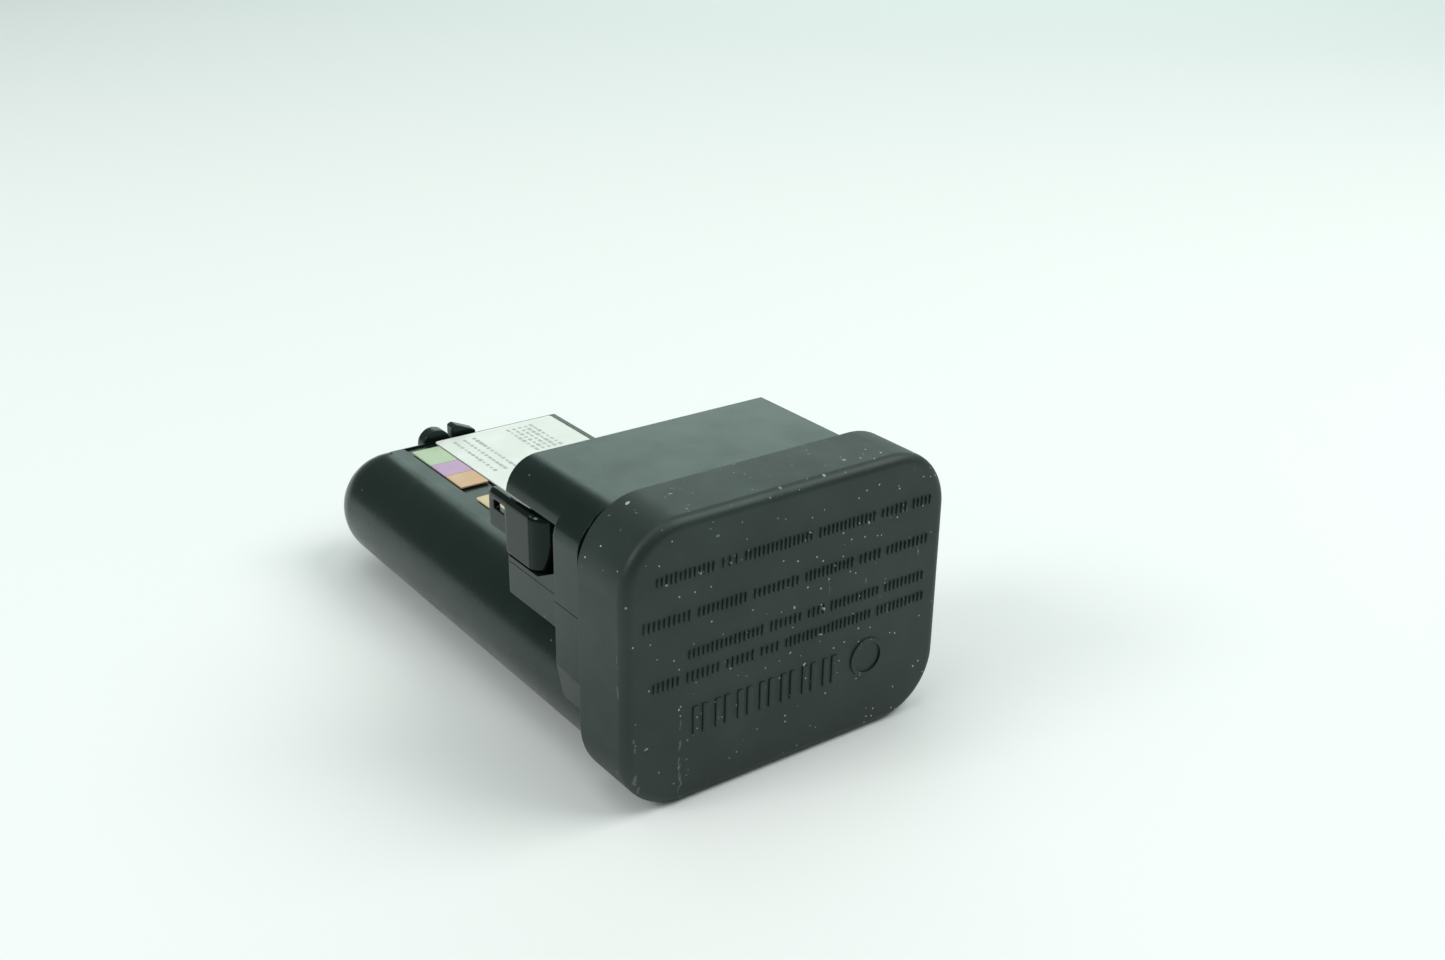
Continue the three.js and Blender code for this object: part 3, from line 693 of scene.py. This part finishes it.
def joined(name, pieces):
    """One object from several, with their meshes side by side."""
    shape = bmesh.new()
    for piece in pieces:
        shape.from_mesh(piece.data)
    mesh = bpy.data.meshes.new(name)
    shape.to_mesh(mesh)
    shape.free()
    for piece in pieces:
        bpy.data.objects.remove(piece)
    return put(name, mesh)


print("nodes of the row tree:", len(row_tree.nodes))

# %% Raised marks
WORD_SPACE = 1.4
SMALL_ROWS = [
    {"z": 40.9, "left": 6, "words": [10.8, 3, 13.4, 11.8, 5.4, 4]},
    {"z": 33.7, "left": 3.6, "words": [8.8, 9.3, 9, 10, 4.5, 9]},
    {"z": 26.8, "left": 12, "words": [14.6, 6.3, 3.4, 10.3, 8.6]},
    {"z": 22.8, "left": 5.3, "words": [5, 6.3, 5.4, 3.6, 18.1, 10.4]},
]
LARGE_ROW = {"z": 14.6, "left": 12.8, "words": [3] * 7}
STROKE = {"wide": 0.48, "tall": 1.95, "pitch": 0.86}
LARGE_STROKE = {"wide": 1.15, "tall": 5.2, "pitch": 2.05}
MARK_RING = {"x": 48.9, "z": 14.6, "radii": (3.6, 2.8)}


def word_lines(rows, stroke):
    """An edge for each word, shortened by half a stroke at both ends."""
    lines = []
    for row in rows:
        x = row["left"]
        for length in row["words"]:
            ends = (x + stroke["wide"] / 2, x + length - stroke["wide"] / 2)
            lines.append([at(end, RELIEF, row["z"]) for end in ends])
            x += length + WORD_SPACE
    return lines


def strokes(name, rows, stroke, shortest, seed):
    """Rows of upright strokes, half sunk in the cap's face."""
    stamp = soft_block("stroke", stroke["wide"], 2 * RELIEF, stroke["tall"], 0.12)
    piece = in_rows(name, word_lines(rows, stroke), stamp, stroke["pitch"],
                    (0.9, 1, shortest), (1, 1, 1), seed, cap_plastic)
    bpy.data.objects.remove(stamp)
    return piece


def make_ring():
    """A plain raised ring beside the large strokes."""
    x, z = MARK_RING["x"], MARK_RING["z"]
    outer, inner = [box_corners(x - r, x + r, z - r, z + r, [r] * 4) for r in MARK_RING["radii"]]
    disc = moulded("mark_ring", outer, "Y", 0, 2 * RELIEF, (0.12, 0), 10, 2)
    hole = moulded("hole", inner, "Y", -1, 1, (0, 0), 10)
    return combine(disc, [hole], "DIFFERENCE")


small_marks = strokes("small_marks", SMALL_ROWS, STROKE, 0.72, 5)
large_marks = strokes("large_marks", [LARGE_ROW], LARGE_STROKE, 1, 3)
cap_marks = shaded(joined("cap_marks", [small_marks, large_marks, make_ring()]), 60)
finish_piece(cap_marks, cap_plastic, "cap", "cap_plastic")

# %% [markdown]
# ## Housing
#
# The housing is built like the mould that makes it: a collar, a tall box, a tube, a slab and a side
# rib are joined, and the bores, the label's bed and the latch's pocket are cut out. A fine gap at
# the weld splits it into its two shells.

# %% Housing sizes
WALL = 1.8
SEAM = 30.6
SEAM_GAP = 0.14
COLLAR_INSET = 1.9
COLLAR_FRONT = 3.9
BODY_FRONT = cap_depth + 0.3
TUBE = {"x": 12.6, "z": 12.6, "radius": 11, "end": extent("lower_housing")[1].y}
SLAB = {"right": 51.8, "end": 108, "low": 1.6, "high": 23.6}
TOWER = {"left": 1.6, "right": 54.5, "low": 24.5, "high": 48.7, "back": 38.4, "corner": 6}
RIB = {"left": 0.4, "back": 21.3, "right": 6.6, "top": 47.3, "corner": 5.8}
PARTITION = 24.2
POCKET = {"floor": 6.2, "low": 31.55, "high": 43.2, "pad": 8, "roof": 45.4, "behind": 2}
POCKET_LIP = {"back": 28.4, "rise": 0.51, "thick": 1, "sunk": 0.4}
BED = {"left": 15.6, "right": 50.3, "front": 43.6, "back": 107.4, "depth": 0.4}
FOOT = {"left": 16, "right": 46, "front": 98, "back": 104}
SCREW_PLACES = [(11.5, 10.5), (45.5, 10.5), (37.1, 79)]
BOSS = {"radius": 2.8, "pilot": 1.5, "floor": 5.7, "clear": 0.3}
BOARD_LOW = extent("circuit_board")[0].z
PAST = 1          # how far a cutting solid runs past the face that it cuts


def block(name, x0, x1, y0, y1, z0, z1, soft=0.0):
    """A block placed in millimetres from the cap's corner, with all its edges soft where asked."""
    return moulded(name, box_corners(x0, x1, z0, z1, [soft] * 4), "Y", y0, y1, (soft, soft), 3, 3)


print("the tube ends at", round(TUBE["end"], 1), "mm")


# %% Housing solids
def cap_outline(inset):
    """The corners of the cap's outline, moved inwards."""
    radii = [CAP_CORNER - inset] * 4
    return box_corners(inset, cap_width - inset, inset, cap_height - inset, radii)


def round_bar(name, x, z, radius, front, end, edges=(0, 0), steps=16, edge_steps=4):
    """A round bar along Y, with soft or domed ends."""
    corners = box_corners(x - radius, x + radius, z - radius, z + radius, [radius] * 4)
    return moulded(name, corners, "Y", front, end, edges, steps, edge_steps)


def domed_tube(name, radius, front, end):
    """A round bar whose far end is half a ball."""
    return round_bar(name, TUBE["x"], TUBE["z"], radius, front, end, (0, radius - TINY), 22, 20)


def housing_solids():
    """Everything that is joined to make the housing's outside."""
    collar_end = BODY_FRONT + WALL
    collar = moulded("collar", cap_outline(COLLAR_INSET), "Y", COLLAR_FRONT, collar_end, (0.4, 0.3), 14, 3)
    t = TOWER
    tower_corners = box_corners(t["left"], t["right"], t["low"], t["high"], [0.3, 0.3, 0.5, t["corner"]])
    tower = moulded("tower", tower_corners, "Y", BODY_FRONT, t["back"], (0.1, 0.45), 10, 4)
    web = block("web", TUBE["x"], SLAB["right"], BODY_FRONT, t["back"], SLAB["high"] - 1, t["low"] + 1)
    tube = domed_tube("tube", TUBE["radius"], BODY_FRONT, TUBE["end"])
    slab_corners = box_corners(TUBE["x"], SLAB["right"], SLAB["low"], SLAB["high"], [TINY, 0.9, 0.6, TINY])
    slab = moulded("slab", slab_corners, "Y", BODY_FRONT, SLAB["end"], (0.1, 0.4), 4, 3)
    foot = block("foot", FOOT["left"], FOOT["right"], FOOT["front"], FOOT["back"], 0, 2.6, 0.3)
    left = RIB["left"]
    rib_corners = [
        (left, 19, 1.5), (t["left"], TUBE["z"], 0.5), (RIB["right"], TUBE["z"], TINY),
        (RIB["right"], RIB["top"], TINY), (left, RIB["top"], RIB["corner"]),
    ]
    rib = moulded("rib", rib_corners, "Y", BODY_FRONT, RIB["back"], (0.1, 0.4), 10, 3)
    return collar, [tower, web, tube, slab, foot, rib]


def housing_bores():
    """Everything that is cut from the housing's inside."""
    front = COLLAR_FRONT - PAST
    bay = TOWER["back"] - WALL
    low = TOWER["low"] + WALL
    corners = box_corners(TOWER["left"] + WALL, TOWER["right"] - WALL, low, TOWER["high"] - WALL,
                          [0.5, 0.5, 0.5, TOWER["corner"] - WALL])
    mouth = moulded("mouth", cap_outline(COLLAR_INSET + WALL), "Y", front, BODY_FRONT, (0, 0.4), 12, 2)
    tower_bore = moulded("tower_bore", corners, "Y", front, bay, (0, 0.6), 6, 3)
    inner_right = SLAB["right"] - WALL
    inner_low = SLAB["low"] + WALL
    well = block("well", TUBE["x"], inner_right, front, bay, inner_low, low + PAST)
    tube_bore = domed_tube("tube_bore", TUBE["radius"] - WALL, front, TUBE["end"] - WALL)
    slab_roof = SLAB["high"] - WALL
    slab_bore = block("slab_bore", PARTITION, inner_right, front, SLAB["end"] + PAST, inner_low, slab_roof)
    return [mouth, tower_bore, well, tube_bore, slab_bore]


# %% Housing shells
def round_post(name, x, y, radius, low, high, edges=(0, 0), steps=6):
    """A round post along Z."""
    corners = box_corners(x - radius, x + radius, y - radius, y + radius, [radius] * 4)
    return moulded(name, corners, "Z", low, high, edges, steps, 3)


def pocket_lip():
    """The pocket's lower front corner, which slopes up towards the rib."""
    lip = POCKET_LIP
    front = RIB["back"] - lip["sunk"]
    low = POCKET["low"] - lip["sunk"]
    top = POCKET["low"] + lip["rise"] * (lip["back"] - front)
    corners = [(front, low), (lip["back"], low), (lip["back"], POCKET["low"]), (front, top)]
    slope = [(y, z, TINY) for y, z in corners]
    return moulded("lip", slope, "X", TOWER["left"], TOWER["left"] + lip["thick"], (0.02, 0.3), 2, 3)


def make_housing():
    """The whole housing, before it is split at its weld."""
    collar, solids = housing_solids()
    whole = combine(collar, solids, "UNION")
    bed = block("bed", BED["left"], BED["right"], BED["front"], BED["back"],
                SLAB["high"] - BED["depth"], SLAB["high"] + PAST)
    combine(whole, [*housing_bores(), bed], "DIFFERENCE")
    boss_low, boss_high = SLAB["low"] + WALL / 2, BOARD_LOW - BOSS["clear"]
    bosses = [round_post("boss", x, y, BOSS["radius"], boss_low, boss_high) for x, y in SCREW_PLACES]
    behind = POCKET["behind"]
    pad = block("pad", TOWER["left"] + WALL / 2, POCKET["pad"], RIB["back"] - behind,
                TOWER["back"] - WALL / 2, POCKET["low"] - behind, POCKET["roof"])
    combine(whole, [*bosses, pad], "UNION")
    pilot_low, pilot_high = BOSS["floor"], BOARD_LOW + PAST
    pilots = [round_post("pilot", x, y, BOSS["pilot"], pilot_low, pilot_high) for x, y in SCREW_PLACES]
    pocket = block("pocket", -PAST, POCKET["floor"], RIB["back"], TOWER["back"] + PAST,
                   POCKET["low"], POCKET["high"])
    combine(whole, [*pilots, pocket], "DIFFERENCE")
    return combine(whole, [pocket_lip()], "UNION")


def split_off(whole, name, low, high):
    """The part of the housing between two heights."""
    part = put(name, whole.data.copy())
    keep = block("keep", -PAST, cap_width, 0, TUBE["end"] + PAST, low, high)
    return shaded(cleaned(combine(part, [keep], "INTERSECT")))


housing = make_housing()
lower_shell = split_off(housing, "lower_shell", -PAST, SEAM - SEAM_GAP / 2)
upper_shell = split_off(housing, "upper_shell", SEAM + SEAM_GAP / 2, cap_height)
bpy.data.objects.remove(housing)
finish_piece(lower_shell, housing_plastic, "housing", "housing_plastic", "lower_housing")
finish_piece(upper_shell, housing_plastic, "housing", "housing_plastic", "upper_housing")

# %% [markdown]
# ## Side latch
#
# The latch is one springy moulding that lies flush in a pocket of the wall: a thick root with a
# large round front edge, a thin plate, and a tail with a small window under its top bar. Its parts
# are overlapped roughly, then rebuilt in fine voxels and relaxed, which melts the joints into the
# soft corners that a mould gives.

# %% Side latch
latch_low, latch_high = extent("side_latch")
LATCH_ROOT = 33       # where the thick root ends and the thin plate goes on
LATCH_ROUND = 4.2
LATCH_TAIL = {"front": 38.9, "low": 34.4}
LATCH_WINDOW = {"front": 39.4, "back": 43, "low": 38.3, "high": 39.8}
LATCH_THICK = 1.5
LATCH_VOXEL = 0.13
LATCH_RELAX = 5


def make_latch():
    """The latch from a root, a plate and a tail, cut by its window and softened."""
    margin = Vector((TINY, TINY, TINY))
    left, front, low = latch_low + margin
    right, back, high = latch_high - margin
    root_corners = box_corners(left, right, front, LATCH_ROOT, [LATCH_ROUND, 0.05, 0.05, TINY])
    root = moulded("side_latch_spring", root_corners, "Z", low, high, (0.25, 1.5), 14, 6)
    tail_front = LATCH_TAIL["front"]
    inside = left + LATCH_THICK
    plate_corners = box_corners(left, inside, low, high, [0.3, 0.3, 0.3, 1.25])
    plate = moulded("plate", plate_corners, "Y", LATCH_ROOT - 2, tail_front, (0, 0.3), 8, 3)
    tail_low = LATCH_TAIL["low"]
    tail_corners = [
        (tail_front - 1, tail_low, 0.3), (back, tail_low, 0.6),
        (back, high, 1.6), (tail_front - 1, high, 0.3),
    ]
    tail = moulded("tail", tail_corners, "X", left + 0.25, inside, (0.5, 0.3), 6, 4)
    bar_corners = box_corners(left, inside, high - 1.9, high, [0.5, 0.3, 0.4, 1.1])
    bar = moulded("bar", bar_corners, "Y", tail_front - 1, back - 0.4, (0, 0.9), 6, 4)
    combine(root, [plate, tail, bar], "UNION")
    window = LATCH_WINDOW
    hole = block("hole", -PAST, right, window["front"], window["back"], window["low"], window["high"])
    combine(root, [hole], "DIFFERENCE")
    remesh = root.modifiers.new("voxels", "REMESH")
    remesh.mode = "VOXEL"
    remesh.voxel_size = LATCH_VOXEL * MM
    relax = root.modifiers.new("relax", "SMOOTH")
    relax.iterations = LATCH_RELAX
    relax.factor = 0.5
    return settle(root)


side_latch = make_latch()
side_latch.data.shade_smooth()
finish_piece(side_latch, latch_plastic, "latch", "latch_plastic", "side_latch")

# %% [markdown]
# ## Label
#
# The label is a thin film in a shallow bed. Tinted patches and a cream tag lie beside it, and rows
# of plain grey dashes stand for its print.


# %% Label, patches and tag
def film(name, low, high, corner=0.6):
    """A thin sheet with round corners that fills a box."""
    corners = box_corners(low.x, high.x, low.y, high.y, [corner] * 4)
    return moulded(name, corners, "Z", low.z, high.z, (0, 0.04), 4, 2)


label_low, label_high = extent("main_label")
label_sheet = film("label_sheet", label_low, label_high)
finish_piece(shaded(label_sheet), label_film, "housing", "label_film", "main_label")

strip_low, strip_high = extent("colour_strip")
PATCH_BREAKS = [strip_low.y, 89.7, 96.0, strip_high.y]
PATCH_GAP = 0.1


def make_patches():
    """Three tinted patches in a row, each with its own ink."""
    patches = []
    for index in range(3):
        low = Vector((strip_low.x, PATCH_BREAKS[index] + PATCH_GAP / 2, strip_low.z))
        high = Vector((strip_high.x, PATCH_BREAKS[index + 1] - PATCH_GAP / 2, strip_high.z))
        patch = film("patch", low, high, 0.2)
        for face in patch.data.polygons:
            face.material_index = index
        patches.append(patch)
    strip = joined("tinted_patches", patches)
    for ink in (amber_ink, lilac_ink, green_ink):
        strip.data.materials.append(ink)
    return strip


patches = make_patches()
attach(patches, "housing")
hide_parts("colour_strip")
tag_sheet = film("tag_sheet", *extent("lot_tag"))
finish_piece(shaded(tag_sheet), cream_paper, "housing", "tag_paper", "lot_tag")

# %% Printed dashes
PRINT_THICK = 0.03
DASH_PITCH = 1.5
PRINTED_ROWS = [
    {"start": 87, "end": 104, "places": [25.6, 27.8, 30.0]},
    {"start": 92, "end": 104, "places": [38, 39.4, 40.8, 42.2, 43.6]},
]
dash_stamp = soft_block("dash", 0.9, 1.1, 2 * PRINT_THICK, 0.01)
dash_lines = [
    [at(x, rows[end], label_high.z) for end in ("start", "end")]
    for rows in PRINTED_ROWS for x in rows["places"]
]
dashes = in_rows("printed_dashes", dash_lines, dash_stamp, DASH_PITCH,
                 (0.5, 0.5, 1), (1, 1.3, 1), 9, grey_ink)
bpy.data.objects.remove(dash_stamp)
finish_piece(dashes, grey_ink, "housing", "label_film")

# %% [markdown]
# ## Connector shroud and contacts
#
# The shroud is a rectangular socket whose flange closes the slab. Two lugs on top guide and lock the
# wiring plug: a round key and a one-way ramp. Ten tinned contacts stand inside it in two rows.

# %% Connector shroud
shroud_low, shroud_high = extent("connector_shroud")
SHROUD_WALL = 1.5
SHROUD_DROP = 1.6     # how much lower the flange is than the slab
LUG_ROOT = 2.4        # how far below the slab's top the lugs start
KEY = {"x": 23.6, "sunk": 1.2, "radius": 3.2}
RAMP = {"left": 27.3, "peak": 28.3, "right": 32.6, "high": 2.2, "shoulder": 1.8, "foot": 0.3}
FIT = 0.3             # clearance between neighbouring parts


def make_shroud():
    face = SLAB["end"] + FIT
    back = shroud_high.y
    left, right = PARTITION + FIT, SLAB["right"] - WALL - FIT
    low, high = SLAB["low"] + WALL + FIT, SLAB["high"] - WALL - FIT
    plate_top = SLAB["high"] - SHROUD_DROP
    plate_corners = box_corners(PARTITION - 1, SLAB["right"], SLAB["low"], plate_top, [0.4, 0.9, 0.6, 0.4])
    plate = moulded("connector_socket", plate_corners, "Y", face, back, (0.15, 0.4), 4, 3)
    spigot = block("spigot", left, right, shroud_low.y, back - 0.5, low, high)
    top = SLAB["high"]
    root = top - LUG_ROOT
    key = round_bar("key", KEY["x"], top - KEY["sunk"], KEY["radius"], face, back, (0.3, 0.5), 8, 3)
    trim = block("trim", 0, cap_width, face - PAST, back + PAST, 0, root)
    ramp_corners = [
        (RAMP["left"], root, TINY), (RAMP["right"], root, TINY), (RAMP["right"], top + RAMP["foot"], 0.5),
        (RAMP["peak"], top + RAMP["high"], 0.5), (RAMP["left"], top + RAMP["shoulder"], 0.3),
    ]
    ramp = moulded("ramp", ramp_corners, "Y", face, back, (0.3, 0.5), 4, 3)
    combine(key, [trim], "DIFFERENCE")
    combine(plate, [spigot, key, ramp], "UNION")
    mouth = block("mouth", left + SHROUD_WALL, right - SHROUD_WALL, shroud_low.y - PAST, back + PAST,
                  low + SHROUD_WALL, high - SHROUD_WALL)
    return shaded(cleaned(combine(plate, [mouth], "DIFFERENCE")))


connector = make_shroud()
finish_piece(connector, housing_plastic, "housing", "housing_plastic", "connector_shroud")

# %% [markdown]
# ## Parts with plain solids
#
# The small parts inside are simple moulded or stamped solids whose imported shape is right. A copy of
# each is merged, its edges are broken by a small bevel as moulding and stamping do, and the copy
# stands for the node.


# %% Softened copies
def softened(node, material, slot, bevel=0.0, body="housing", crease=35):
    """A copy of a node with merged points and broken edges, which stands for the node."""
    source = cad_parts[node].data
    points = [tuple(vertex.co) for vertex in source.vertices]
    faces = [tuple(face.vertices) for face in source.polygons]
    mesh = bpy.data.meshes.new(node + "_part")
    mesh.from_pydata(points, [], faces)
    piece = put(node + "_part", mesh)
    cleaned(piece, 1.0)
    if bevel:
        modifier = piece.modifiers.new("broken_edges", "BEVEL")
        modifier.width = bevel * MM
        modifier.segments = 2
        modifier.limit_method = "ANGLE"
        modifier.angle_limit = math.radians(crease)
        modifier.use_clamp_overlap = True
    return finish_piece(shaded(piece, crease), material, body, slot, node)


NUMBERED = {
    "contact_pin": (10, contact_tin, "contact_tin", 0.15),
    "board_screw": (3, screw_steel, "screw_steel", 0.15),
    "power_switch": (4, chip_resin, "chip_resin", 0.12),
}
softened("cap_seal", seal_rubber, "seal_rubber", 0.15, "cap")
softened("pin_header", header_plastic, "header_plastic", 0.12)
for node, (count, material, slot, bevel) in NUMBERED.items():
    for number in range(1, count + 1):
        softened(f"{node}_{number}", material, slot, bevel)
for side in ("left", "right"):
    softened(f"signal_relay_{side}", relay_plastic, "relay_plastic", 0.4)
softened("circuit_board", board_laminate, "board_laminate", 0.08)
for node in ("microcontroller", "voltage_regulator", "radio_receiver", "surge_diode"):
    softened(node, chip_resin, "chip_resin", 0.15)
softened("crystal", can_metal, "can_metal", 0.8)
softened("reservoir_capacitor", can_metal, "can_metal", 0.3, crease=25)
softened("filter_choke", copper_wire, "copper_wire", 0.6, crease=25)
softened("hall_sensor", chip_resin, "chip_resin", 0.08)
softened("tilt_bracket", sheet_steel, "sheet_steel", 0.12)
softened("pivot_pin", pin_steel, "pin_steel", 0.12)
softened("ferrite_rod", ferrite, "ferrite", 0.3)
for number in (1, 2):
    softened(f"rod_clip_{number}", clip_plastic, "clip_plastic", 0.2)
    softened(f"antenna_lead_{number}", copper_wire, "copper_wire")
softened("tilt_pendulum", pendulum_brass, "pendulum_brass", 0.25, "pendulum", 25)
softened("pendulum_magnet", can_metal, "can_metal", 0.2, "pendulum")

# %% [markdown]
# ## Antenna winding
#
# The antenna's coil is enamelled wire wound turn beside turn on the ferrite rod. The rule is a
# helix, so a second tree makes it: a spiral curve of constant radius, turned to lie along the rod
# and given a round section.

# %% Antenna winding
coil_low, coil_high = extent("antenna_winding")
WIRE = 0.9
coil_middle = (coil_low + coil_high) / 2
coil_radius = (coil_high.x - coil_low.x) / 2 - WIRE / 2


def make_winding_tree():
    kinds = {"Turns": "Float", "Radius": "Float", "Length": "Float", "Wire": "Float",
             "Start": "Vector", "Material": "Material"}
    tree, inputs = start_tree("wire_winding", kinds)
    spiral = add(tree, "GeometryNodeCurveSpiral", values={"Resolution": 24},
                 links={"Rotations": inputs["Turns"], "Start Radius": inputs["Radius"],
                        "End Radius": inputs["Radius"], "Height": inputs["Length"]})
    laid = add(tree, "GeometryNodeTransform", values={"Rotation": (-math.pi / 2, 0, 0)},
               links={"Geometry": spiral.outputs[0], "Translation": inputs["Start"]})
    section = add(tree, "GeometryNodeCurvePrimitiveCircle", values={"Resolution": 6},
                  links={"Radius": inputs["Wire"]})
    wire = add(tree, "GeometryNodeCurveToMesh", values={"Fill Caps": True},
               links={"Curve": laid.outputs[0], "Profile Curve": section.outputs[0]})
    solid = add(tree, "GeometryNodeRealizeInstances", links={"Geometry": wire.outputs[0]})
    coloured = add(tree, "GeometryNodeSetMaterial",
                   links={"Geometry": solid.outputs[0], "Material": inputs["Material"]})
    add(tree, "NodeGroupOutput", links={"Geometry": coloured.outputs[0]})
    return tree


winding_length = coil_high.y - coil_low.y - WIRE
winding = put("wound_coil", bpy.data.meshes.new("wound_coil"))
grown(winding, make_winding_tree(), {
    "Turns": winding_length / (WIRE + 0.04),
    "Radius": coil_radius * MM,
    "Length": winding_length * MM,
    "Wire": WIRE * MM / 2,
    "Start": tuple(at(coil_middle.x, coil_low.y + WIRE / 2, coil_middle.z)),
    "Material": copper_wire,
})
winding.data.shade_smooth()
finish_piece(winding, copper_wire, "housing", "copper_wire", "antenna_winding")
